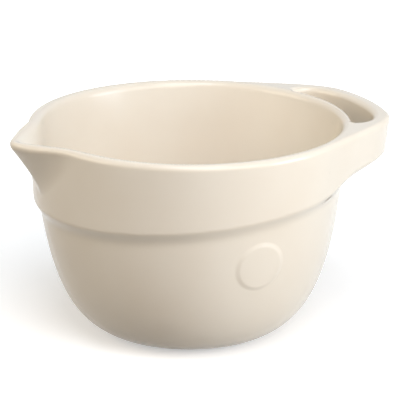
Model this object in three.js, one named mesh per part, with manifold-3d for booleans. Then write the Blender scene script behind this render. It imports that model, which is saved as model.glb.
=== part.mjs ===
// A glazed stoneware mixing bowl with a thick rim band, a pouring spout and a loop handle.
// Millimetres, +Z up, standing on z = 0. The handle points along +X and the spout along -X.
import * as THREE from 'three';
import { mergeVertices } from 'three/addons/utils/BufferGeometryUtils.js';
import Module from 'manifold-3d';

const { degToRad, lerp, smoothstep } = THREE.MathUtils;

// Bowl: heights are from the table, radii from the bowl's axis
const HEIGHT = 153.5;
const RIM_RADIUS = 119;
const RIM_WALL = 9.5;
const RIM_OUTER_ROUND = 4;
const RIM_INNER_ROUND = 4;
const WALL = 7.5;
const BASE_RADIUS = 57.5;
const BELLY_LOW_OUT = 26.5;
const BELLY_LOW_UP = 8;
const BELLY_HIGH_IN = 8;
const BELLY_HIGH_DOWN = 75;

// Band: its lower edge is a soft step that rises towards the handle
const STEP_HEIGHT = 110;
const STEP_TILT = degToRad(5);
const STEP_OVERHANG = 4.5;
const STEP_DROP = 13;
const STEP_BIAS = 1.5;
const BAND_LEAN = degToRad(7.3);
const BAND_DRAW_IN = 5.5;
const BAND_DRAW_POWER = 3;

// Spout: a V that stands out of the rim, with a blunt tip and flanks that blend into the band.
// Its channel is wider and softer. A taper is the share of the width left at the lowest point.
const SPOUT_REACH = 21.6;
const SPOUT_HALF_ANGLE = degToRad(20.5);
const SPOUT_TIP_ROUND = degToRad(2.4);
const SPOUT_FLANK_BLEND = 0.4;
const SPOUT_DEPTH = 42;
const SPOUT_RISE_POWER = 1.3;
const SPOUT_TAPER = 0.1;
const SPOUT_CHANNEL_HALF_ANGLE = degToRad(38);
const SPOUT_CHANNEL_POWER = 3.2;
const SPOUT_CHANNEL_TAPER = 0.7;
const SPOUT_NOTCH_MARGIN = 4;

// Handle: its sides leave the rim on tangents and meet the end in soft corners.
// Its reach is measured outwards from the rim, and the slot from the handle's seat in the band.
const HANDLE_REACH = 27;
const HANDLE_HALF_ANGLE = degToRad(57);
const HANDLE_CORNER = 16;
const HANDLE_LIFT = 8.5;
const HANDLE_LIFT_ANGLE = degToRad(20);
const HANDLE_SEAT_DEPTH = 3;
const SLOT_WIDTH = 18;
const SLOT_HALF_ANGLE = degToRad(25.8);
const SLOT_END_POWER = 4;

// Medallion on the side, between the spout and the handle
const MEDALLION_RADIUS = 19;
const MEDALLION_HEIGHT = 74.5;
const MEDALLION_ANGLE = degToRad(-85);
const MEDALLION_RELIEF = 0.9;
const MEDALLION_SOCKET = 2.6;

// Foot ring, let into a groove under the base
const FOOT_OUTER_RADIUS = 54;
const FOOT_WIDTH = 9;
const FOOT_PROUD = 1;
const FOOT_GROOVE = 2.5;
const FOOT_CHAMFER = 0.6;

// Joints between the pieces: the slip-filled gap, and the lap between basin and band
const LUTE = 0.3;
const SEAM_LAP = 6;

// Facets
const TURN_STEPS = 72;
const SIDE_STEPS = 12;
const SIDE_CROWDING = 1.7;
const PLUG_STEPS = 48;
const SEAT_STEPS = 24;
const ROUND_STEPS = 3;
const STEP_STEPS = 6;
const BAND_LEVELS = 3;
const SPOUT_STEPS = 32;
const SPOUT_LEVELS = 6;
const SLOT_STEPS = 28;
const ROOT_STEPS = 8;
const CURVE_SAMPLES = 80;
const HALVINGS = 40;
const WELD = 1e-4;

const CREAM_GLAZE = { color: 0xefe3cd, roughness: 0.2, metalness: 0 };
const BARE_CLAY = { color: 0xcdb694, roughness: 0.9, metalness: 0 };

const wasm = await Module();
wasm.setup();

// Geometry helpers

function cleanGeometry(positions, index) {
  const raw = new THREE.BufferGeometry();
  raw.setAttribute('position', new THREE.Float32BufferAttribute(positions, 3));
  raw.setIndex(index);
  const merged = mergeVertices(raw, WELD);
  const corners = merged.index.array;
  const kept = [];
  for (let i = 0; i < corners.length; i += 3) {
    const [a, b, c] = corners.slice(i, i + 3);
    if (a !== b && b !== c && c !== a) kept.push(a, b, c);
  }
  merged.setIndex(kept);
  return merged;
}

function capTriangles(section, flip) {
  const outline = section.map(([radius, z]) => new THREE.Vector2(radius, z));
  return THREE.ShapeUtils.triangulateShape(outline, []).flatMap(([a, b, c]) => {
    const edge = outline[b].clone().sub(outline[a]);
    const anticlockwise = edge.cross(outline[c].clone().sub(outline[a])) > 0;
    return anticlockwise !== flip ? [a, b, c] : [a, c, b];
  });
}

// A solid swept about the bowl's axis. sectionAt(angle) lists the section's corners as
// [radius, z], anticlockwise, with the same number of corners at every angle.
function sweep(angles, sectionAt, { closed = false } = {}) {
  const sections = angles.map(sectionAt);
  const count = sections[0].length;
  const positions = sections.flatMap((section, i) =>
    section.flatMap(([radius, z]) => [radius * Math.cos(angles[i]), radius * Math.sin(angles[i]), z]));
  const index = [];
  const strips = closed ? angles.length : angles.length - 1;
  for (let i = 0; i < strips; i++) {
    const here = i * count;
    const next = ((i + 1) % angles.length) * count;
    for (let j = 0; j < count; j++) {
      const k = (j + 1) % count;
      index.push(here + j, next + j, next + k, here + j, next + k, here + k);
    }
  }
  if (!closed) {
    const last = (angles.length - 1) * count;
    index.push(...capTriangles(sections[0], false));
    index.push(...capTriangles(sections.at(-1), true).map((corner) => corner + last));
  }
  return cleanGeometry(positions, index);
}

function solidOf(geometry) {
  const bare = geometry.clone();
  bare.deleteAttribute('normal');
  bare.deleteAttribute('uv');
  const merged = mergeVertices(bare, WELD);
  const vertProperties = Float32Array.from(merged.attributes.position.array);
  const triVerts = Uint32Array.from(merged.index.array);
  return new wasm.Manifold(new wasm.Mesh({ numProp: 3, vertProperties, triVerts }));
}

function geometryOf(solid) {
  const { vertProperties, triVerts } = solid.getMesh();
  const geometry = new THREE.BufferGeometry();
  geometry.setAttribute('position', new THREE.Float32BufferAttribute(vertProperties, 3));
  geometry.setIndex(Array.from(triVerts));
  return geometry;
}

function evenly(from, to, steps) {
  return Array.from({ length: steps + 1 }, (_, i) => lerp(from, to, i / steps));
}

const fullTurn = evenly(0, 2 * Math.PI, TURN_STEPS).slice(0, -1);

// An arc of a rounded edge, by its centre, from one angle to another
function roundedEdge(radius, z, round, from, to) {
  return evenly(from, to, ROUND_STEPS).map((turn) =>
    [radius + round * Math.cos(turn), z + round * Math.sin(turn)]);
}

// Profiles of the bowl's side

const lean = Math.tan(BAND_LEAN);
const tilt = Math.tan(STEP_TILT);
const bandFootRadius = RIM_RADIUS - lean * (HEIGHT - STEP_HEIGHT);
const sideTopRadius = bandFootRadius - STEP_OVERHANG;
const sideCurve = new THREE.CubicBezierCurve(
  new THREE.Vector2(BASE_RADIUS, FOOT_PROUD),
  new THREE.Vector2(BASE_RADIUS + BELLY_LOW_OUT, FOOT_PROUD + BELLY_LOW_UP),
  new THREE.Vector2(sideTopRadius - BELLY_HIGH_IN, STEP_HEIGHT - BELLY_HIGH_DOWN),
  new THREE.Vector2(sideTopRadius, STEP_HEIGHT),
);
const outerSide = sideCurve.getPoints(CURVE_SAMPLES);
const innerSide = outerSide.map((point, i) => {
  const along = sideCurve.getTangent(i / CURVE_SAMPLES);
  return new THREE.Vector2(point.x - WALL * along.y, point.y + WALL * along.x);
});
innerSide.push(new THREE.Vector2(RIM_RADIUS - RIM_WALL, HEIGHT));
const floorTop = innerSide[0].y;

// Radius of a profile at a height, carried on straight past the profile's ends
function radiusAt(profile, z) {
  let k = profile.findIndex((point) => point.y > z);
  if (k < 0) k = profile.length - 1;
  const low = profile[Math.max(k - 1, 0)];
  const high = profile[Math.max(k, 1)];
  return lerp(low.x, high.x, (z - low.y) / (high.y - low.y));
}

// Points up a profile, closer together low down where it bends most
function climb(profile, from, to) {
  return evenly(0, 1, SIDE_STEPS).map((share) => {
    const z = lerp(from, to, share ** SIDE_CROWDING);
    return [radiusAt(profile, z), z];
  });
}

const innerRadius = (z) => radiusAt(innerSide, z);
const stepRise = (angle) => tilt * bandFootRadius * Math.cos(angle);
const seamHeight = (angle) => STEP_HEIGHT - STEP_DROP + stepRise(angle);

function bandLowerEdge(angle) {
  const fromHandle = Math.acos(Math.cos(angle));
  const underHandle = smoothstep(HANDLE_HALF_ANGLE - fromHandle, 0, HANDLE_LIFT_ANGLE);
  return STEP_HEIGHT + stepRise(angle) + HANDLE_LIFT * underHandle;
}

// Outline of the rim in plan

function softMax(a, b, blend) {
  const overlap = Math.max(blend - Math.abs(a - b), 0) / blend;
  return Math.max(a, b) + overlap * overlap * blend / 4;
}

const softMin = (a, b, blend) => -softMax(-a, -b, blend);

// Outer face of the band and, within the handle's stretch, of the handle
function faceRadius(angle, z) {
  const fromHandle = Math.acos(Math.cos(angle));
  const tangent = RIM_RADIUS / Math.cos(Math.max(HANDLE_HALF_ANGLE - fromHandle, 0));
  return softMin(tangent, RIM_RADIUS + HANDLE_REACH, HANDLE_CORNER) - lean * (HEIGHT - z);
}

// The band is drawn in towards the spout, more so higher up
function drawnIn(angle, z) {
  const towardsSpout = Math.max(0, -Math.cos(angle)) ** BAND_DRAW_POWER;
  const up = (z - seamHeight(angle)) / (HEIGHT - seamHeight(angle));
  return BAND_DRAW_IN * towardsSpout * up;
}

const spoutBlendAngle = SPOUT_HALF_ANGLE * (1 + SPOUT_FLANK_BLEND);

const spoutRise = (z) => Math.max(0, 1 - (HEIGHT - z) / SPOUT_DEPTH);

// The spout's V in plan: one at its tip and nought where its flanks end, closer together low down
function spoutShare(angle, z, halfAngle, taper) {
  const fromTip = Math.acos(-Math.cos(angle)) / lerp(taper, 1, spoutRise(z));
  return (halfAngle - Math.hypot(fromTip, SPOUT_TIP_ROUND)) / (halfAngle - SPOUT_TIP_ROUND);
}

// How far the spout stands out of the drawn-in band, on its outer face and in its channel
function spoutPush(angle, z) {
  const flank = softMax(spoutShare(angle, z, SPOUT_HALF_ANGLE, SPOUT_TAPER), 0, SPOUT_FLANK_BLEND);
  return SPOUT_REACH * flank * spoutRise(z) ** SPOUT_RISE_POWER;
}

function channelPush(angle, z) {
  const share = spoutShare(angle, z, SPOUT_CHANNEL_HALF_ANGLE, SPOUT_CHANNEL_TAPER);
  return SPOUT_REACH * Math.max(share, 0) ** SPOUT_CHANNEL_POWER * spoutRise(z) ** SPOUT_RISE_POWER;
}

// The tongue on the basin's edge and its groove in the band meet on this radius
function tongueRadius(angle) {
  const z = seamHeight(angle);
  return (radiusAt(outerSide, z) + innerRadius(z)) / 2;
}

const notchFloor = HEIGHT - SPOUT_DEPTH - SPOUT_NOTCH_MARGIN;

function spoutNotch() {
  const angles = evenly(Math.PI - spoutBlendAngle, Math.PI + spoutBlendAngle, SPOUT_STEPS);
  const inside = innerRadius(notchFloor) - RIM_WALL;
  const outside = RIM_RADIUS + RIM_WALL;
  const above = HEIGHT + RIM_WALL;
  return sweep(angles, () => [
    [inside, notchFloor],
    [outside, notchFloor],
    [outside, above],
    [inside, above],
  ]);
}

// Basin

function basinSection(angle) {
  const seam = seamHeight(angle);
  const tongue = tongueRadius(angle);
  const tongueTop = seam + SEAM_LAP;
  const grooveTop = FOOT_PROUD + FOOT_GROOVE;
  const grooveInner = FOOT_OUTER_RADIUS - FOOT_WIDTH - LUTE;
  const grooveOuter = FOOT_OUTER_RADIUS + LUTE;
  return [
    [0, FOOT_PROUD],
    [grooveInner, FOOT_PROUD],
    [grooveInner, grooveTop],
    [grooveOuter, grooveTop],
    [grooveOuter, FOOT_PROUD],
    ...climb(outerSide, FOOT_PROUD, seam),
    [tongue, seam],
    [tongue, tongueTop],
    ...climb(innerSide, floorTop, tongueTop).reverse(),
    [0, floorTop],
  ];
}

// The medallion's axis leaves the side square to it
function medallionAxis() {
  const step = 1;
  const low = radiusAt(outerSide, MEDALLION_HEIGHT - step);
  const high = radiusAt(outerSide, MEDALLION_HEIGHT + step);
  const outward = new THREE.Vector3(2 * step, 0, low - high).normalize();
  const foot = new THREE.Vector3(radiusAt(outerSide, MEDALLION_HEIGHT), 0, MEDALLION_HEIGHT);
  const about = new THREE.Vector3(0, 0, 1);
  return {
    outward: outward.applyAxisAngle(about, MEDALLION_ANGLE),
    foot: foot.applyAxisAngle(about, MEDALLION_ANGLE),
  };
}

// A round plug through the side, from the socket's floor outwards
function medallionPlug(radius, sunk) {
  const proud = MEDALLION_RADIUS / 2;
  const plug = new THREE.CylinderGeometry(radius, radius, sunk + proud, PLUG_STEPS);
  const { outward, foot } = medallionAxis();
  const turn = new THREE.Quaternion().setFromUnitVectors(new THREE.Vector3(0, 1, 0), outward);
  const middle = foot.addScaledVector(outward, (proud - sunk) / 2);
  plug.applyQuaternion(turn).translate(middle.x, middle.y, middle.z);
  return solidOf(plug);
}

// The spout's notch is cut from it too, for a spout that reaches below the seam
function basin() {
  const shell = solidOf(sweep(fullTurn, basinSection, { closed: true }));
  const socket = medallionPlug(MEDALLION_RADIUS + LUTE, MEDALLION_SOCKET);
  return geometryOf(shell.subtract(socket).subtract(solidOf(spoutNotch())));
}

// Medallion: its face keeps the curve of the side, standing out by its relief

function medallion() {
  const proud = ([radius, z]) => [radius + MEDALLION_RELIEF, z];
  const faceSection = (angle) => [
    [0, FOOT_PROUD],
    ...climb(outerSide, FOOT_PROUD, seamHeight(angle)).map(proud),
    [0, seamHeight(angle)],
  ];
  const face = solidOf(sweep(fullTurn, faceSection, { closed: true }));
  return geometryOf(medallionPlug(MEDALLION_RADIUS, MEDALLION_SOCKET - LUTE).intersect(face));
}

// Rim band

// The rim's rounded edges, over the outer face and over the inside
function outerShoulder(angle) {
  const z = HEIGHT - RIM_OUTER_ROUND;
  return roundedEdge(faceRadius(angle, z) - RIM_OUTER_ROUND, z, RIM_OUTER_ROUND, 0, Math.PI / 2);
}

function innerShoulder() {
  const z = HEIGHT - RIM_INNER_ROUND;
  return roundedEdge(innerRadius(z) + RIM_INNER_ROUND, z, RIM_INNER_ROUND, Math.PI / 2, Math.PI);
}

// The soft step, from the basin's side (share 0) out to the band's lower edge (share 1)
function stepPoint(angle, share) {
  const z = lerp(seamHeight(angle) + LUTE, bandLowerEdge(angle), share);
  const out = smoothstep(share ** STEP_BIAS, 0, 1);
  return [lerp(radiusAt(outerSide, z), faceRadius(angle, z), out), z];
}

function bandSection(angle) {
  const seam = seamHeight(angle) + LUTE;
  const groove = tongueRadius(angle) + LUTE;
  const grooveTop = seam + SEAM_LAP;
  const inner = evenly(HEIGHT - RIM_INNER_ROUND, grooveTop, BAND_LEVELS).slice(1);
  const above = [
    ...evenly(0, 1, STEP_STEPS).map((share) => stepPoint(angle, share)),
    ...outerShoulder(angle),
    ...innerShoulder(),
    ...inner.map((z) => [innerRadius(z), z]),
  ];
  return [
    [groove, grooveTop],
    [groove, seam],
    ...above.map(([radius, z]) => [radius - drawnIn(angle, z), z]),
  ];
}

const seatRadius = (z) => RIM_RADIUS - HANDLE_SEAT_DEPTH - lean * (HEIGHT - z);

function handleSeat() {
  const angles = evenly(-HANDLE_HALF_ANGLE, HANDLE_HALF_ANGLE, SEAT_STEPS);
  const below = STEP_HEIGHT - STEP_DROP;
  const above = HEIGHT + RIM_WALL;
  const outside = RIM_RADIUS + HANDLE_REACH + RIM_WALL;
  return sweep(angles, () => [
    [seatRadius(below), below],
    [outside, below],
    [outside, above],
    [seatRadius(above), above],
  ]);
}

function rimBand() {
  const ring = solidOf(sweep(fullTurn, bandSection, { closed: true }));
  return geometryOf(ring.subtract(solidOf(spoutNotch())).subtract(solidOf(handleSeat())));
}

// Spout: the band's section carried out along the V

function spoutSection(angle) {
  const low = notchFloor + LUTE;
  const outer = evenly(low, HEIGHT - RIM_OUTER_ROUND, SPOUT_LEVELS).slice(0, -1);
  const inner = evenly(HEIGHT - RIM_INNER_ROUND, low, SPOUT_LEVELS).slice(1);
  const outside = [...outer.map((z) => [faceRadius(angle, z), z]), ...outerShoulder(angle)];
  const inside = [...innerShoulder(), ...inner.map((z) => [innerRadius(z), z])];
  return [
    ...outside.map(([radius, z]) => [radius - drawnIn(angle, z) + spoutPush(angle, z), z]),
    ...inside.map(([radius, z]) => [radius - drawnIn(angle, z) + channelPush(angle, z), z]),
  ];
}

function pouringSpout() {
  const half = spoutBlendAngle - LUTE / innerRadius(HEIGHT);
  return sweep(evenly(Math.PI - half, Math.PI + half, SPOUT_STEPS), spoutSection);
}

// Handle: its roots lie on the seat in the band, and its bow stands off it by the finger slot

function slotWidth(angle) {
  const share = Math.min(Math.abs(angle) / SLOT_HALF_ANGLE, 1);
  return SLOT_WIDTH * Math.sqrt(1 - share ** SLOT_END_POWER);
}

// Inner face: it leans with the seat at the roots, and is upright along the slot
function gripInnerRadius(angle, z) {
  const slot = slotWidth(angle);
  const upright = lean * slot / SLOT_WIDTH;
  return seatRadius(z) + LUTE + slot + upright * (HEIGHT - z);
}

// The share of the soft step at which it comes out past the handle's inner face
function undersideStart(angle) {
  let [inside, outside] = [0, 1];
  for (let i = 0; i < HALVINGS; i++) {
    const middle = (inside + outside) / 2;
    const [radius, z] = stepPoint(angle, middle);
    if (radius < gripInnerRadius(angle, z)) inside = middle;
    else outside = middle;
  }
  return outside;
}

function handleSection(angle) {
  const underside = evenly(undersideStart(angle), 1, STEP_STEPS).map((share) => stepPoint(angle, share));
  const thickness = faceRadius(angle, HEIGHT) - gripInnerRadius(angle, HEIGHT);
  const round = Math.min(RIM_OUTER_ROUND, thickness / 2);
  const shoulder = HEIGHT - round;
  return [
    ...underside,
    ...roundedEdge(faceRadius(angle, shoulder) - round, shoulder, round, 0, Math.PI / 2),
    [gripInnerRadius(angle, HEIGHT), HEIGHT],
  ];
}

function handle() {
  const end = HANDLE_HALF_ANGLE - LUTE / RIM_RADIUS;
  const root = evenly(SLOT_HALF_ANGLE, end, ROOT_STEPS).slice(1);
  const turns = evenly(-Math.PI / 2, Math.PI / 2, SLOT_STEPS);
  const slot = turns.map((turn) => SLOT_HALF_ANGLE * Math.sin(turn));
  const angles = [...root.map((angle) => -angle).reverse(), ...slot, ...root];
  return sweep(angles, handleSection);
}

// Foot ring

function footRing() {
  const inner = FOOT_OUTER_RADIUS - FOOT_WIDTH;
  const top = FOOT_PROUD + FOOT_GROOVE - LUTE;
  const section = [
    [inner + FOOT_CHAMFER, 0],
    [FOOT_OUTER_RADIUS - FOOT_CHAMFER, 0],
    [FOOT_OUTER_RADIUS, FOOT_CHAMFER],
    [FOOT_OUTER_RADIUS, top],
    [inner, top],
    [inner, FOOT_CHAMFER],
  ];
  return sweep(fullTurn, () => section, { closed: true });
}

// Assembly: the origin is on the table, under the middle of the bowl's footprint

function piece(name, geometry, finish) {
  geometry.computeVertexNormals();
  const mesh = new THREE.Mesh(geometry, new THREE.MeshStandardMaterial(finish));
  mesh.name = name;
  return mesh;
}

const bowl = new THREE.Group();
bowl.add(
  piece('basin', basin(), CREAM_GLAZE),
  piece('rim_band', rimBand(), CREAM_GLAZE),
  piece('pouring_spout', pouringSpout(), CREAM_GLAZE),
  piece('handle', handle(), CREAM_GLAZE),
  piece('medallion', medallion(), CREAM_GLAZE),
  piece('foot_ring', footRing(), BARE_CLAY),
);
bowl.position.x = -new THREE.Box3().setFromObject(bowl).getCenter(new THREE.Vector3()).x;

export default bowl;
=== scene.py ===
"""A cream glazed stoneware mixing bowl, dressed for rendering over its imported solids.

The glazed surface is one smooth form, given as a signed field in millimetres about the bowl's
axis. It is cut into its clay pieces on a fine grid, so the pieces meet with no visible seam.
"""
import math

import bpy
import numpy as np
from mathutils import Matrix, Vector


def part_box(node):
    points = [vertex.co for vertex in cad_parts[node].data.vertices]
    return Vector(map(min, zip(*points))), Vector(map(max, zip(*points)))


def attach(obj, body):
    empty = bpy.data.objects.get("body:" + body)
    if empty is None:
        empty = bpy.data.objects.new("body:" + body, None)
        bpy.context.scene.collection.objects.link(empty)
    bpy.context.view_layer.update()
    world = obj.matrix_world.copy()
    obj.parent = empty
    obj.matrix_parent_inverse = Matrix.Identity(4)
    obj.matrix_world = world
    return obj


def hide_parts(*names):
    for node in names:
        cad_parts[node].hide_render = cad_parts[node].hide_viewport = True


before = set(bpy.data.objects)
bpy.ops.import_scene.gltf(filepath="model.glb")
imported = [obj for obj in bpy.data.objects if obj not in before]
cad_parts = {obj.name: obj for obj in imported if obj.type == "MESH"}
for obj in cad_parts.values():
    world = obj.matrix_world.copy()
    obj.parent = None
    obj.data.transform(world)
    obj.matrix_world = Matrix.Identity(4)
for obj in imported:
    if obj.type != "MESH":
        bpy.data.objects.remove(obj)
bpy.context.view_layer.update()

MM = 0.001

# Bowl: heights are from the table, radii from the bowl's axis
HEIGHT = 153.5
RIM_RADIUS = 119.0
RIM_WALL = 9.5
RIM_OUTER_ROUND = 4.0
RIM_INNER_ROUND = 4.0
WALL = 7.5
BASE_RADIUS = 57.5
BELLY_LOW_OUT = 26.5
BELLY_LOW_UP = 8.0
BELLY_HIGH_IN = 8.0
BELLY_HIGH_DOWN = 75.0
BASE_EDGE_ROUND = 3.0
FLOOR_BLEND = 12.0
INNER_STRAIGHT_FROM = 80.0

# Band and its soft step
STEP_HEIGHT = 110.0
STEP_TILT = math.radians(5)
STEP_OVERHANG = 4.5
STEP_DROP = 13.0
STEP_BIAS = 1.5
BAND_LEAN = math.radians(7.3)
BAND_DRAW_IN = 5.5
BAND_DRAW_POWER = 3.0
BAND_DRAW_EASE = 8.0

# Spout: a V whose lip is rounder than the rim and dips at its tip
SPOUT_REACH = 24.0
SPOUT_HALF_ANGLE = math.radians(21.5)
SPOUT_TIP_ROUND = math.radians(2.4)
SPOUT_FLANK_BLEND = 0.25
SPOUT_FOOT_BLEND = 0.8
SPOUT_LIP_DIP = 1.2
SPOUT_LIP_ROUND = 2.6
SPOUT_LIP_SPREAD = 1.2
SPOUT_CHANNEL_HALF_ANGLE = math.radians(38)
SPOUT_CHANNEL_POWER = 3.2
SPOUT_DEPTH = 42.0
SPOUT_RISE_POWER = 1.3
SPOUT_TAPER = 0.1
SPOUT_CHANNEL_TAPER = 0.7
SPOUT_NOTCH_MARGIN = 4.0

# Handle and its finger slot
HANDLE_REACH = 27.0
HANDLE_HALF_ANGLE = math.radians(57)
HANDLE_CORNER = 16.0
HANDLE_LIFT = 8.5
HANDLE_LIFT_ANGLE = math.radians(20)
HANDLE_SEAT_DEPTH = 3.0
SLOT_WIDTH = 18.3
SLOT_HALF_ANGLE = math.radians(25.8)
SLOT_END_POWER = 4
SLOT_CORNER = 4.0
SLOT_EDGE_ROUND = 4.0
SLOT_LEAST_SLOPE = 0.02

# Medallion
MEDALLION_RADIUS = 19.0
MEDALLION_HEIGHT = 74.5
MEDALLION_ANGLE = math.radians(-85)
MEDALLION_RELIEF = 0.9
MEDALLION_EDGE = 4.2
MEDALLION_SUNK = 1.0
MEDALLION_RINGS = 10
MEDALLION_SPOKES = 96
MEDALLION_EDGE_STEPS = 10

# Foot ring
FOOT_OUTER_RADIUS = 54.0
FOOT_WIDTH = 9.0
FOOT_PROUD = 1.0
FOOT_ROUND = 0.6
FOOT_SUNK = 0.1
FOOT_SPOKES = 180
FOOT_ROUND_STEPS = 4

# Meshing
CELL = 1.6
PADDING = 2.2
PROFILE_SAMPLES = 2001
SLOPE_STEP = 0.25
NORMAL_STEP = 0.5
EDGE_STEP = 1.5
SNAP_ROUNDS = 6
SNAP_DAMPING = 1e-9
LEAST_LENGTH = 1e-12
EMPTY, BASIN, RIM_BAND, POURING_SPOUT, HANDLE = range(5)
PIECE_NAMES = {
    BASIN: "basin",
    RIM_BAND: "rim_band",
    POURING_SPOUT: "pouring_spout",
    HANDLE: "handle",
}

# Camera, fitted to the photograph; lengths in millimetres
CAMERA_AZIMUTH = math.radians(-23)
CAMERA_ELEVATION = math.radians(17.44)
CAMERA_DISTANCE = 1500.0
CAMERA_LENS = 187.7
CAMERA_SENSOR = 36.0
TARGET_RIGHT = 7.82
TARGET_UP = 93.55


# Curves and blends

def smoothstep(x):
    x = np.clip(x, 0.0, 1.0)
    return x * x * (3 - 2 * x)


def soft_max(a, b, blend):
    overlap = np.maximum(blend - np.abs(a - b), 0) / blend
    return np.maximum(a, b) + overlap * overlap * blend / 4


def soft_min(a, b, blend):
    return -soft_max(-a, -b, blend)


def round_max(a, b, radius):
    """Intersection of two fields, its edge rounded to a radius."""
    corner = np.hypot(np.maximum(a + radius, 0), np.maximum(b + radius, 0))
    return np.minimum(-radius, np.maximum(a, b)) + corner


LEAN = math.tan(BAND_LEAN)
TILT = math.tan(STEP_TILT)
BAND_FOOT_RADIUS = RIM_RADIUS - LEAN * (HEIGHT - STEP_HEIGHT)
SIDE_TOP_RADIUS = BAND_FOOT_RADIUS - STEP_OVERHANG
SPOUT_BLEND_ANGLE = SPOUT_HALF_ANGLE * (1 + SPOUT_FLANK_BLEND)
NOTCH_FLOOR = HEIGHT - SPOUT_DEPTH - SPOUT_NOTCH_MARGIN


def side_profiles():
    """Outer and inner profile of the side, each as radii over heights."""
    corners = np.array([
        (BASE_RADIUS, FOOT_PROUD),
        (BASE_RADIUS + BELLY_LOW_OUT, FOOT_PROUD + BELLY_LOW_UP),
        (SIDE_TOP_RADIUS - BELLY_HIGH_IN, STEP_HEIGHT - BELLY_HIGH_DOWN),
        (SIDE_TOP_RADIUS, STEP_HEIGHT),
    ])
    t = np.linspace(0, 1, PROFILE_SAMPLES)[:, None]
    weights = np.hstack([(1 - t) ** 3, 3 * (1 - t) ** 2 * t, 3 * (1 - t) * t ** 2, t ** 3])
    outer = weights @ corners
    along = np.gradient(outer, axis=0)
    along /= np.linalg.norm(along, axis=1)[:, None]
    inner = outer + WALL * np.column_stack([-along[:, 1], along[:, 0]])
    # The inside runs up to the rim in one easy cubic from below the step, unbent at its end
    kept = inner[inner[:, 1] < INNER_STRAIGHT_FROM]
    (r0, z0), (r1, z1) = kept[-1], (RIM_RADIUS - RIM_WALL, HEIGHT)
    span = z1 - z0
    start = (kept[-1, 0] - kept[-2, 0]) / (kept[-1, 1] - kept[-2, 1]) * span
    end = 1.5 * (r1 - r0) - start / 2
    u = np.linspace(0, 1, PROFILE_SAMPLES)[1:]
    rise = (2 * u**3 - 3 * u**2 + 1) * r0 + (u**3 - 2 * u**2 + u) * start
    rise += (3 * u**2 - 2 * u**3) * r1 + (u**3 - u**2) * end
    inner = np.vstack([kept, np.column_stack([rise, z0 + u * span])])
    return outer, inner


OUTER_SIDE, INNER_SIDE = side_profiles()
FLOOR_TOP = INNER_SIDE[0, 1]


def radius_at(profile, z):
    """Radius of a profile at a height, carried on straight past its ends."""
    radius = np.interp(z, profile[:, 1], profile[:, 0])
    (r0, z0), (r1, z1) = profile[0], profile[1]
    (r2, z2), (r3, z3) = profile[-2], profile[-1]
    radius = radius + np.minimum(z - z0, 0) * (r1 - r0) / (z1 - z0)
    return radius + np.maximum(z - z3, 0) * (r3 - r2) / (z3 - z2)


def seam_height(angle):
    return STEP_HEIGHT - STEP_DROP + TILT * BAND_FOOT_RADIUS * np.cos(angle)


def band_lower_edge(angle):
    lift = smoothstep((HANDLE_HALF_ANGLE - np.abs(angle)) / HANDLE_LIFT_ANGLE)
    return seam_height(angle) + STEP_DROP + HANDLE_LIFT * lift


def face_radius(angle, z):
    """Outer face of the band and, within the handle's stretch, of the handle."""
    tangent = RIM_RADIUS / np.cos(np.maximum(HANDLE_HALF_ANGLE - np.abs(angle), 0))
    return soft_min(tangent, RIM_RADIUS + HANDLE_REACH, HANDLE_CORNER) - LEAN * (HEIGHT - z)


def drawn_in(angle, z):
    """How far the band is drawn in towards the spout, more so higher up."""
    seam = seam_height(angle)
    towards_spout = np.maximum(0, -np.cos(angle)) ** BAND_DRAW_POWER
    up = np.maximum(z - seam, 0)
    up = np.where(up < BAND_DRAW_EASE, up * up / (2 * BAND_DRAW_EASE), up - BAND_DRAW_EASE / 2)
    return BAND_DRAW_IN * towards_spout * up / (HEIGHT - seam - BAND_DRAW_EASE / 2)


def spout_share(angle, z, half_angle, taper):
    """The spout's V in plan, one at its tip and nought where it meets the band, and its rise."""
    up = np.maximum(0, 1 - (HEIGHT - z) / SPOUT_DEPTH)
    from_tip = (math.pi - np.abs(angle)) / (taper + (1 - taper) * up)
    share = (half_angle - np.hypot(from_tip, SPOUT_TIP_ROUND)) / (half_angle - SPOUT_TIP_ROUND)
    return share, up ** SPOUT_RISE_POWER


def outer_radius(angle, z):
    seam = seam_height(angle)
    share = np.clip((z - seam) / (band_lower_edge(angle) - seam), 0, 1)
    side = radius_at(OUTER_SIDE, z)
    out = smoothstep(share ** STEP_BIAS)
    face = side + (face_radius(angle, z) - side) * out
    flank, rise = spout_share(angle, z, SPOUT_HALF_ANGLE, SPOUT_TAPER)
    blend = SPOUT_FOOT_BLEND + (SPOUT_FLANK_BLEND - SPOUT_FOOT_BLEND) * rise
    return face - drawn_in(angle, z) + SPOUT_REACH * soft_max(flank, 0, blend) * rise


def on_lip(angle):
    """One at the middle of the spout's lip, nought on the rest of the rim."""
    share, _ = spout_share(angle, HEIGHT, SPOUT_HALF_ANGLE, SPOUT_TAPER)
    return smoothstep(share * SPOUT_LIP_SPREAD)


def inner_radius(angle, z):
    flank, rise = spout_share(angle, z, SPOUT_CHANNEL_HALF_ANGLE, SPOUT_CHANNEL_TAPER)
    channel = SPOUT_REACH * np.maximum(flank, 0) ** SPOUT_CHANNEL_POWER * rise
    return radius_at(INNER_SIDE, z) - drawn_in(angle, z) + channel


def seat_radius(z):
    return RIM_RADIUS - HANDLE_SEAT_DEPTH - LEAN * (HEIGHT - z)


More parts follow.
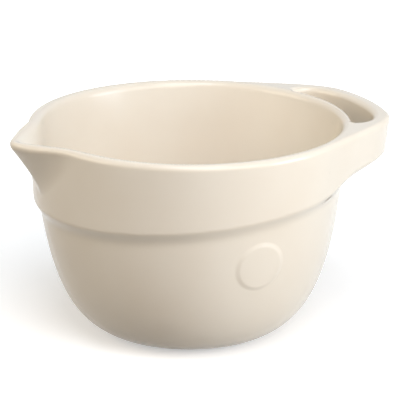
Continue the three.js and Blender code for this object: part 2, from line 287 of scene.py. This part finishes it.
def slot_field(r, angle, z):
    """Negative inside the finger slot."""
    share = angle / SLOT_HALF_ANGLE
    out = (r - (RIM_RADIUS - HANDLE_SEAT_DEPTH)) / SLOT_WIDTH
    level = np.maximum(out, 0) ** 2 + share ** SLOT_END_POWER - 1
    slope_out = 2 * np.maximum(out, 0) / SLOT_WIDTH
    slope_round = SLOT_END_POWER * np.abs(share) ** (SLOT_END_POWER - 1)
    slope_round = slope_round / (SLOT_HALF_ANGLE * RIM_RADIUS)
    level = level / np.maximum(np.hypot(slope_out, slope_round), SLOT_LEAST_SLOPE)
    return round_max(seat_radius(z) - r, level, SLOT_CORNER)


def field(points):
    """Signed field of the whole glazed form: negative in the clay, about a distance near it."""
    x, y, z = points.T
    r = np.hypot(x, y)
    angle = np.arctan2(y, x)

    def wall(radius):
        slope = (radius(angle, z + SLOPE_STEP) - radius(angle, z - SLOPE_STEP)) / (2 * SLOPE_STEP)
        return (r - radius(angle, z)) / np.sqrt(1 + slope * slope)

    body = round_max(wall(outer_radius), FOOT_PROUD - z, BASE_EDGE_ROUND)
    lip = on_lip(angle)
    above = z - HEIGHT + SPOUT_LIP_DIP * lip
    body = round_max(body, above, RIM_OUTER_ROUND + SPOUT_LIP_ROUND * lip)
    hollow = soft_min(-wall(inner_radius), z - FLOOR_TOP, FLOOR_BLEND)
    body = round_max(body, hollow, RIM_INNER_ROUND)
    return round_max(body, -slot_field(r, angle, z), SLOT_EDGE_ROUND)


# Cuts between the clay pieces: each field is negative on the named piece's side

def seam_cut(points):
    x, y, z = points.T
    return z - seam_height(np.arctan2(y, x))


def spout_cut(points):
    x, y, z = points.T
    beside = (math.pi - np.abs(np.arctan2(y, x)) - SPOUT_BLEND_ANGLE) * np.hypot(x, y)
    return np.maximum(beside, NOTCH_FLOOR - z)


def handle_cut(points):
    x, y, z = points.T
    r = np.hypot(x, y)
    return np.maximum((np.abs(np.arctan2(y, x)) - HANDLE_HALF_ANGLE) * r, seat_radius(z) - r)


def label(points):
    piece = np.full(len(points), RIM_BAND, np.int8)
    piece[spout_cut(points) < 0] = POURING_SPOUT
    piece[handle_cut(points) < 0] = HANDLE
    piece[seam_cut(points) < 0] = BASIN
    return piece


def gradient(function, points, step):
    """Central differences of a field, and its Laplacian."""
    slopes = np.empty_like(points)
    bend = -2 * points.shape[1] * function(points)
    for axis in range(3):
        offset = np.zeros(3)
        offset[axis] = step
        ahead = function(points + offset)
        behind = function(points - offset)
        slopes[:, axis] = (ahead - behind) / (2 * step)
        bend += ahead + behind
    return slopes, bend / step**2


# Meshing: one vertex in each grid cell that the surface or a cut passes through

def sample_grid():
    reach = RIM_RADIUS + HANDLE_REACH + PADDING
    side = RIM_RADIUS + PADDING
    xs = np.arange(-reach, reach + CELL, CELL)
    ys = np.arange(-side, side + CELL, CELL)
    zs = np.arange(FOOT_PROUD - PADDING, HEIGHT + PADDING + CELL, CELL)
    shape = (len(xs), len(ys), len(zs))
    values = np.empty(shape)
    labels = np.empty(shape, np.int8)
    plane = np.stack(np.meshgrid(ys, zs, indexing="ij"), axis=-1).reshape(-1, 2)
    for i, x in enumerate(xs):
        points = np.column_stack([np.full(len(plane), x), plane])
        here = field(points)
        values[i] = here.reshape(shape[1:])
        labels[i] = np.where(here < 0, label(points), EMPTY).reshape(shape[1:])
    return (xs, ys, zs), values, labels


def crossings(values, labels):
    """For each axis, the grid edges whose ends differ, and how far along each one it changes."""
    found = []
    for axis in range(3):
        low = [slice(None)] * 3
        high = [slice(None)] * 3
        low[axis] = slice(None, -1)
        high[axis] = slice(1, None)
        low, high = tuple(low), tuple(high)
        at = np.argwhere(labels[low] != labels[high])
        start = tuple(at.T)
        step = np.zeros(3, int)
        step[axis] = 1
        end = tuple((at + step).T)
        a, b = values[start], values[end]
        outside = (labels[start] == EMPTY) | (labels[end] == EMPTY)
        share = np.where(outside, a / np.where(outside, a - b, 1), 0.5)
        found.append((at, share, labels[start], labels[end]))
    return found


def cells_around(at, axis):
    """The four cells that share an edge, in turning order about the axis."""
    u, v = (axis + 1) % 3, (axis + 2) % 3
    cells = np.repeat(at[:, None, :], 4, axis=1)
    cells[:, :, u] += np.array([-1, 0, 0, -1])
    cells[:, :, v] += np.array([-1, -1, 0, 0])
    return cells


def snap(points, functions):
    """Moves points onto the zero set of one field, or of two fields at once."""
    start = points.copy()
    for _ in range(SNAP_ROUNDS):
        values = np.stack([f(points) for f in functions], axis=1)
        slopes = np.stack([gradient(f, points, SLOPE_STEP)[0] for f in functions], axis=1)
        square = slopes @ slopes.transpose(0, 2, 1) + SNAP_DAMPING * np.eye(len(functions))
        move = slopes.transpose(0, 2, 1) @ np.linalg.solve(square, values[:, :, None])
        points = points - move[:, :, 0]
        points = start + np.clip(points - start, -CELL, CELL)
    return points


def glazed_form():
    """Vertices, their normals and edge values, and for each piece its outer and inner quads."""
    grid, values, labels = sample_grid()
    shape = np.array(labels.shape) - 1
    edges = crossings(values, labels)
    keys, places = [], []
    for axis, (at, share, _, _) in enumerate(edges):
        place = np.column_stack([grid[i][at[:, i]] for i in range(3)])
        place[:, axis] += share * CELL
        cells = cells_around(at, axis)
        keys.append(np.ravel_multi_index(tuple(cells.reshape(-1, 3).T), shape))
        places.append(np.repeat(place, 4, axis=0))
    keys, places = np.concatenate(keys), np.concatenate(places)
    cells, vertex_of = np.unique(keys, return_inverse=True)
    points = np.column_stack([np.bincount(vertex_of, places[:, i]) for i in range(3)])
    points /= np.bincount(vertex_of)[:, None]

    # What each cell holds decides which fields its vertex lies on
    holds = np.zeros((len(cells), len(PIECE_NAMES) + 1), bool)
    base = np.column_stack(np.unravel_index(cells, shape))
    for corner in np.ndindex(2, 2, 2):
        holds[np.arange(len(cells)), labels[tuple((base + corner).T)]] = True
    on_surface = holds[:, EMPTY]
    cut = np.zeros(len(cells), int)
    cut[holds[:, RIM_BAND] & holds[:, HANDLE]] = HANDLE
    cut[holds[:, RIM_BAND] & holds[:, POURING_SPOUT]] = POURING_SPOUT
    cut[holds[:, BASIN] & holds[:, RIM_BAND:].any(axis=1)] = BASIN
    cut_fields = {BASIN: seam_cut, POURING_SPOUT: spout_cut, HANDLE: handle_cut}
    for which in (EMPTY, BASIN, POURING_SPOUT, HANDLE):
        for surface in (True, False):
            chosen = (cut == which) & (on_surface == surface)
            functions = [field] if surface else []
            if which in cut_fields:
                functions.append(cut_fields[which])
            if chosen.any():
                points[chosen] = snap(points[chosen], functions)

    normals, _ = gradient(field, points, NORMAL_STEP)
    normals /= np.linalg.norm(normals, axis=1)[:, None]
    _, bend = gradient(field, points, EDGE_STEP)
    edge = np.clip(bend * RIM_OUTER_ROUND, 0, 1)

    quads = {piece: ([], []) for piece in PIECE_NAMES}
    first = 0
    for at, _, start, end in edges:
        around = vertex_of[first:first + 4 * len(at)].reshape(-1, 4)
        first += 4 * len(at)
        for piece, (outer, inner) in quads.items():
            for mine, other, order in ((start, end, [0, 1, 2, 3]), (end, start, [3, 2, 1, 0])):
                outer.append(around[(mine == piece) & (other == EMPTY)][:, order])
                inner.append(around[(mine == piece) & (other != EMPTY)][:, order])
    quads = {piece: [np.concatenate(kind) for kind in kinds] for piece, kinds in quads.items()}
    return points, normals, edge, quads


def face_normals(points, quads):
    a, b, c, d = (points[quads[:, i]] for i in range(4))
    across = np.cross(c - a, d - b)
    return across / np.maximum(np.linalg.norm(across, axis=1), LEAST_LENGTH)[:, None]


# Blender objects

FOOT_LOW, FOOT_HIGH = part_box("foot_ring")
AXIS_X = (FOOT_LOW[0] + FOOT_HIGH[0]) / 2


def to_frame(points):
    """Millimetres about the bowl's axis to metres in the frame."""
    return np.asarray(points) * MM + np.array([AXIS_X, 0, 0])


def add_piece(name, points, faces, node, material):
    mesh = bpy.data.meshes.new(name)
    mesh.from_pydata(to_frame(points).tolist(), [], [list(face) for face in faces])
    mesh.polygons.foreach_set("use_smooth", np.ones(len(mesh.polygons), bool))
    mesh.materials.append(material)
    obj = bpy.data.objects.new(name, mesh)
    bpy.context.scene.collection.objects.link(obj)
    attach(obj, "root")
    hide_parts(node)
    return obj


def set_edge(obj, values):
    """How far each vertex lies on a tight outward bend, for the glaze to thin there."""
    attribute = obj.data.attributes.new("edge", "FLOAT", "POINT")
    attribute.data.foreach_set("value", np.asarray(values, np.float32))


def add_glazed_pieces(material):
    points, normals, edge, quads = glazed_form()
    for piece, node in PIECE_NAMES.items():
        outer, inner = quads[piece]
        faces = np.concatenate([outer, inner])
        used, faces = np.unique(faces, return_inverse=True)
        faces = faces.reshape(-1, 4)
        obj = add_piece("glazed_" + node, points[used], faces.tolist(), node, material)
        set_edge(obj, edge[used])
        smooth = normals[outer.reshape(-1)]
        flat = np.repeat(face_normals(points, inner), 4, axis=0)
        obj.data.normals_split_custom_set(np.concatenate([smooth, flat]).tolist())


def add_lathe(name, section, spokes, node, material):
    """A closed ring turned about the bowl's axis from [radius, z] corners."""
    turns = np.linspace(0, 2 * math.pi, spokes, endpoint=False)
    points = [(r * math.cos(t), r * math.sin(t), z) for t in turns for r, z in section]
    count = len(section)
    faces = []
    for i in range(spokes):
        here, ahead = i * count, (i + 1) % spokes * count
        for j in range(count):
            k = (j + 1) % count
            faces.append((here + j, ahead + j, ahead + k, here + k))
    return add_piece(name, points, faces, node, material)


def add_foot_ring(material):
    inner = FOOT_OUTER_RADIUS - FOOT_WIDTH
    top = FOOT_PROUD + FOOT_SUNK
    quarter = math.pi / 2
    rounds = ((inner + FOOT_ROUND, 2 * quarter), (FOOT_OUTER_RADIUS - FOOT_ROUND, 3 * quarter))
    section = []
    for radius, start in rounds:
        for i in range(FOOT_ROUND_STEPS + 1):
            turn = start + quarter * i / FOOT_ROUND_STEPS
            out = FOOT_ROUND * math.cos(turn)
            up = FOOT_ROUND * math.sin(turn)
            section.append((radius + out, FOOT_ROUND + up))
    section += [(FOOT_OUTER_RADIUS, top), (inner, top)]
    add_lathe("bare_foot_ring", section, FOOT_SPOKES, "foot_ring", material)


def add_medallion(material):
    """A blank disc whose face keeps the curve of the side and whose edge is softly rounded."""
    radius = float(radius_at(OUTER_SIDE, MEDALLION_HEIGHT))
    x = radius * math.cos(MEDALLION_ANGLE)
    y = radius * math.sin(MEDALLION_ANGLE)
    centre = np.array([x, y, MEDALLION_HEIGHT])
    outward = gradient(field, centre[None], NORMAL_STEP)[0][0]
    outward /= np.linalg.norm(outward)
    across = np.cross([0, 0, 1], outward)
    across /= np.linalg.norm(across)
    up = np.cross(outward, across)

    flat = MEDALLION_RADIUS - MEDALLION_EDGE
    rings = [(flat * i / MEDALLION_RINGS, MEDALLION_RELIEF) for i in range(1, MEDALLION_RINGS + 1)]
    for i in range(1, MEDALLION_EDGE_STEPS + 1):
        share = i / MEDALLION_EDGE_STEPS
        height = MEDALLION_RELIEF * float(smoothstep(1 - share))
        rings.append((flat + MEDALLION_EDGE * share, height))
    outermost = len(rings) - 1
    rings.append((MEDALLION_RADIUS, -MEDALLION_SUNK))
    turns = np.linspace(0, 2 * math.pi, MEDALLION_SPOKES, endpoint=False)
    disc = [(0.0, 0.0, MEDALLION_RELIEF)]
    for ring, height in rings:
        disc += [(ring * math.cos(t), ring * math.sin(t), height) for t in turns]
    disc.append((0.0, 0.0, -MEDALLION_SUNK))
    disc = np.array(disc)
    on_side = snap_along(centre + disc[:, :1] * across + disc[:, 1:2] * up, outward)
    points = on_side + disc[:, 2:] * outward

    def vertex(ring, spoke):
        return 1 + ring * MEDALLION_SPOKES + spoke % MEDALLION_SPOKES

    last = len(points) - 1
    faces = []
    for s in range(MEDALLION_SPOKES):
        faces.append((0, vertex(0, s), vertex(0, s + 1)))
        faces.append((last, vertex(len(rings) - 1, s + 1), vertex(len(rings) - 1, s)))
        for i in range(len(rings) - 1):
            faces.append((vertex(i, s), vertex(i + 1, s), vertex(i + 1, s + 1), vertex(i, s + 1)))
    obj = add_piece("glazed_medallion", points, faces, "medallion", material)
    rim = {vertex(outermost, s) for s in range(MEDALLION_SPOKES)}
    for edge in obj.data.edges:
        edge.use_edge_sharp = rim.issuperset(edge.vertices)
    set_edge(obj, np.zeros(len(points)))


def snap_along(points, direction):
    """Moves points along one direction onto the glazed form."""
    for _ in range(SNAP_ROUNDS):
        slope = gradient(field, points, SLOPE_STEP)[0] @ direction
        points = points - (field(points) / slope)[:, None] * direction
    return points


# Materials: noise scales are per metre, bump distances in metres

GLAZE_COLOUR = (0.81, 0.74, 0.635, 1)
GLAZE_WARM = (0.79, 0.71, 0.60, 1)
GLAZE_EDGE = (0.70, 0.58, 0.43, 1)
GLAZE_ROUGHNESS = (0.17, 0.25)
GLAZE_IOR = 1.5
CLOUD_SCALE = 14
CLOUD_DETAIL = 3
CLOUD_RANGE = (0.35, 0.65)
THIN_RANGE = (0.3, 1.0)
THIN_SHARE = (0, 0.22)
SHEEN_SCALE = 60
SHEEN_DETAIL = 2
SHEEN_RANGE = (0.3, 0.7)
RIPPLE_SCALE = 30
RIPPLE_DETAIL = 1
RIPPLE_STRENGTH = 0.05
RIPPLE_DISTANCE = 0.0004
PEEL_SCALE = 420
PEEL_DETAIL = 1
PEEL_STRENGTH = 0.02
PEEL_DISTANCE = 0.0001
CLAY_LIGHT = (0.62, 0.49, 0.34, 1)
CLAY_DARK = (0.48, 0.36, 0.24, 1)
CLAY_ROUGHNESS = 0.9
GRAIN_SCALE = 900
GRAIN_DETAIL = 4
GRAIN_RANGE = (0.35, 0.65)
GRIT_STRENGTH = 0.4
GRIT_DISTANCE = 0.0003


class Nodes:
    """Small helper to lay out a material's node tree."""

    def __init__(self, name):
        self.material = bpy.data.materials.new(name)
        self.material.use_nodes = True
        self.tree = self.material.node_tree
        self.tree.nodes.clear()

    def add(self, kind, **values):
        node = self.tree.nodes.new(kind)
        for key, value in values.items():
            setattr(node, key, value)
        return node

    def link(self, source, target):
        self.tree.links.new(source, target)

    def noise(self, coordinates, scale, detail):
        node = self.add("ShaderNodeTexNoise")
        self.link(coordinates, node.inputs["Vector"])
        node.inputs["Scale"].default_value = scale
        node.inputs["Detail"].default_value = detail
        return node.outputs["Fac"]

    def spread(self, value, before, after=(0, 1)):
        """Maps one range of values onto another."""
        node = self.add("ShaderNodeMapRange")
        self.link(value, node.inputs["Value"])
        names = ("From Min", "From Max", "To Min", "To Max")
        for name, number in zip(names, (*before, *after)):
            node.inputs[name].default_value = number
        return node.outputs["Result"]

    def bump(self, height, strength, distance):
        node = self.add("ShaderNodeBump")
        node.inputs["Strength"].default_value = strength
        node.inputs["Distance"].default_value = distance
        self.link(height, node.inputs["Height"])
        return node


def colour_mix(nodes, share, first, second):
    """Mixes two colours, each a constant or a socket."""
    node = nodes.add("ShaderNodeMix", data_type="RGBA")
    factor = next(s for s in node.inputs if s.identifier == "Factor_Float")
    nodes.link(share, factor)
    for identifier, colour in (("A_Color", first), ("B_Color", second)):
        socket = next(s for s in node.inputs if s.identifier == identifier)
        if isinstance(colour, tuple):
            socket.default_value = colour
        else:
            nodes.link(colour, socket)
    return next(s for s in node.outputs if s.identifier == "Result_Color")


def new_surface(name):
    """A material's nodes, the place on the object to vary it by, and its shader."""
    nodes = Nodes(name)
    place = nodes.add("ShaderNodeTexCoord").outputs["Object"]
    shader = nodes.add("ShaderNodeBsdfPrincipled")
    output = nodes.add("ShaderNodeOutputMaterial")
    nodes.link(shader.outputs["BSDF"], output.inputs["Surface"])
    return nodes, place, shader


def glaze():
    nodes, place, shader = new_surface("cream_glaze")
    cloud = nodes.spread(nodes.noise(place, CLOUD_SCALE, CLOUD_DETAIL), CLOUD_RANGE)
    colour = colour_mix(nodes, cloud, GLAZE_COLOUR, GLAZE_WARM)
    edge = nodes.add("ShaderNodeAttribute", attribute_name="edge").outputs["Fac"]
    thin = nodes.spread(edge, THIN_RANGE, THIN_SHARE)
    colour = colour_mix(nodes, thin, colour, GLAZE_EDGE)
    nodes.link(colour, shader.inputs["Base Color"])

    sheen = nodes.noise(place, SHEEN_SCALE, SHEEN_DETAIL)
    nodes.link(nodes.spread(sheen, SHEEN_RANGE, GLAZE_ROUGHNESS), shader.inputs["Roughness"])
    shader.inputs["IOR"].default_value = GLAZE_IOR

    waves = nodes.noise(place, RIPPLE_SCALE, RIPPLE_DETAIL)
    ripple = nodes.bump(waves, RIPPLE_STRENGTH, RIPPLE_DISTANCE)
    pits = nodes.noise(place, PEEL_SCALE, PEEL_DETAIL)
    peel = nodes.bump(pits, PEEL_STRENGTH, PEEL_DISTANCE)
    nodes.link(ripple.outputs["Normal"], peel.inputs["Normal"])
    nodes.link(peel.outputs["Normal"], shader.inputs["Normal"])
    return nodes.material


def bare_clay():
    nodes, place, shader = new_surface("bare_clay")
    grain = nodes.spread(nodes.noise(place, GRAIN_SCALE, GRAIN_DETAIL), GRAIN_RANGE)
    nodes.link(colour_mix(nodes, grain, CLAY_LIGHT, CLAY_DARK), shader.inputs["Base Color"])
    shader.inputs["Roughness"].default_value = CLAY_ROUGHNESS
    grit = nodes.bump(grain, GRIT_STRENGTH, GRIT_DISTANCE)
    nodes.link(grit.outputs["Normal"], shader.inputs["Normal"])
    return nodes.material


# Stage: a white floor that keeps the shadow, soft lamps and the camera; lengths in metres

FLOOR_SIZE = 12.0
FLOOR_SHOWN = (0.8, 0.8, 0.8, 1)
# Painted light and shade on the floor's bounce colour: darker away from the lamps, brighter towards
# them
FLOOR_BOUNCE_PAINTED_SHADE = (0.25, 0.23, 0.2, 1)
FLOOR_BOUNCE_PAINTED_LIGHT = (0.6, 0.56, 0.5, 1)
FLOOR_BOUNCE_TURN = (-0.04, 0.16)
FLOOR_FADE = (0.2, 0.8)
FLOOR_LIFT = (0.45, 1.0)
WORLD_STRENGTH = (0.0, 1.0)
WHITE = (1, 1, 1, 1)
LAMP_DISTANCE = 1.6
LAMP_HEIGHT = 1.0
NEUTRAL = (1, 1, 1)
COOL = (0.79, 0.885, 1)
SOFT_COOL = (0.83, 0.915, 1)
SOFT_WARM = (1, 0.94, 0.9)
WARM = (1, 0.88, 0.69)
RIGHT = Vector((math.cos(CAMERA_AZIMUTH), math.sin(CAMERA_AZIMUTH), 0))


def seen_directly(tree):
    """One for rays from the camera, off gloss or through glass, which see a white background."""
    path = tree.nodes.new("ShaderNodeLightPath")
    seen = path.outputs["Is Camera Ray"]
    for ray in ("Is Glossy Ray", "Is Transmission Ray"):
        either = tree.nodes.new("ShaderNodeMath")
        either.operation = "MAXIMUM"
        tree.links.new(seen, either.inputs[0])
        tree.links.new(path.outputs[ray], either.inputs[1])
        seen = either.outputs["Value"]
    return seen


def add_floor():
    half = FLOOR_SIZE / 2
    corners = [(-half, -half, 0), (half, -half, 0), (half, half, 0), (-half, half, 0)]
    mesh = bpy.data.meshes.new("floor")
    mesh.from_pydata(corners, [], [(0, 1, 2, 3)])
    floor = bpy.data.objects.new("floor", mesh)
    bpy.context.scene.collection.objects.link(floor)
    nodes = Nodes("white_floor")
    bounce = nodes.add("ShaderNodeBsdfDiffuse")
    place = nodes.add("ShaderNodeTexCoord").outputs["Object"]
    # Painted light and shade: the floor's bounce colour is brighter towards the lamps and darker on
    # the far side, standing in for how the lamps light the floor
    sideways = nodes.add("ShaderNodeVectorMath", operation="DOT_PRODUCT")
    nodes.link(place, sideways.inputs[0])
    sideways.inputs[1].default_value = RIGHT
    lit = nodes.spread(sideways.outputs["Value"], FLOOR_BOUNCE_TURN)
    nodes.link(colour_mix(nodes, lit, FLOOR_BOUNCE_PAINTED_SHADE, FLOOR_BOUNCE_PAINTED_LIGHT), bounce.inputs["Color"])
    shown = nodes.add("ShaderNodeBsdfDiffuse")
    shown.inputs["Color"].default_value = FLOOR_SHOWN
    lift = nodes.add("ShaderNodeEmission")
    lift.inputs["Color"].default_value = WHITE
    # Away from the object the floor fades to plain white, near it the shadow shows
    away = nodes.add("ShaderNodeVectorMath", operation="LENGTH")
    nodes.link(place, away.inputs[0])
    nodes.link(nodes.spread(away.outputs["Value"], FLOOR_FADE, FLOOR_LIFT), lift.inputs["Strength"])
    lifted = nodes.add("ShaderNodeAddShader")
    nodes.link(shown.outputs["BSDF"], lifted.inputs[0])
    nodes.link(lift.outputs["Emission"], lifted.inputs[1])
    either = nodes.add("ShaderNodeMixShader")
    nodes.link(seen_directly(nodes.tree), either.inputs["Fac"])
    nodes.link(bounce.outputs["BSDF"], either.inputs[1])
    nodes.link(lifted.outputs["Shader"], either.inputs[2])
    output = nodes.add("ShaderNodeOutputMaterial")
    nodes.link(either.outputs["Shader"], output.inputs["Surface"])
    mesh.materials.append(nodes.material)


def set_world():
    world = bpy.data.worlds.new("studio")
    bpy.context.scene.world = world
    world.use_nodes = True
    tree = world.node_tree
    tree.nodes.clear()
    strength = tree.nodes.new("ShaderNodeMapRange")
    tree.links.new(seen_directly(tree), strength.inputs["Value"])
    strength.inputs["To Min"].default_value = WORLD_STRENGTH[0]
    strength.inputs["To Max"].default_value = WORLD_STRENGTH[1]
    background = tree.nodes.new("ShaderNodeBackground")
    background.inputs["Color"].default_value = WHITE
    tree.links.new(strength.outputs["Result"], background.inputs["Strength"])
    output = tree.nodes.new("ShaderNodeOutputWorld")
    tree.links.new(background.outputs["Background"], output.inputs["Surface"])


def direction(azimuth, elevation):
    """Unit vector for an azimuth, from the front to the right, and an elevation."""
    level = math.cos(elevation)
    return Vector((math.sin(azimuth) * level, -math.cos(azimuth) * level, math.sin(elevation)))


def aim(obj, target):
    obj.rotation_euler = (Vector(target) - obj.location).to_track_quat("-Z", "Y").to_euler()


def add_lamp(name, azimuth, elevation, width, power, colour):
    """A wide soft lamp, placed by azimuth from the camera's side and by elevation, in degrees."""
    lamp = bpy.data.lights.new(name, "AREA")
    lamp.shape = "RECTANGLE"
    lamp.size = width
    lamp.size_y = LAMP_HEIGHT
    lamp.energy = power
    lamp.color = colour
    obj = bpy.data.objects.new(name, lamp)
    bpy.context.scene.collection.objects.link(obj)
    away = direction(CAMERA_AZIMUTH + math.radians(azimuth), math.radians(elevation))
    target = Vector((AXIS_X, 0, HEIGHT * MM / 2))
    obj.location = target + LAMP_DISTANCE * away
    aim(obj, target)


def add_camera():
    target = Vector((AXIS_X, 0, TARGET_UP * MM)) + RIGHT * TARGET_RIGHT * MM
    away = direction(CAMERA_AZIMUTH, CAMERA_ELEVATION)
    data = bpy.data.cameras.new("camera")
    data.lens = CAMERA_LENS
    data.sensor_width = CAMERA_SENSOR
    camera = bpy.data.objects.new("camera", data)
    bpy.context.scene.collection.objects.link(camera)
    camera.location = target + away * CAMERA_DISTANCE * MM
    aim(camera, target)
    bpy.context.scene.camera = camera


add_camera()
glaze_material = glaze()
add_glazed_pieces(glaze_material)
add_medallion(glaze_material)
add_foot_ring(bare_clay())
add_floor()
set_world()
add_lamp("key", azimuth=24, elevation=34, width=1.3, power=15.4, colour=SOFT_WARM)
add_lamp("top", azimuth=0, elevation=70, width=0.8, power=13.4, colour=COOL)
add_lamp("side", azimuth=69, elevation=10, width=0.8, power=16.4, colour=SOFT_COOL)
add_lamp("fill", azimuth=-80, elevation=24, width=1.3, power=10.8, colour=WARM)
add_lamp("back", azimuth=180, elevation=50, width=3, power=3.4, colour=NEUTRAL)
bpy.context.scene.view_settings.view_transform = "Standard"
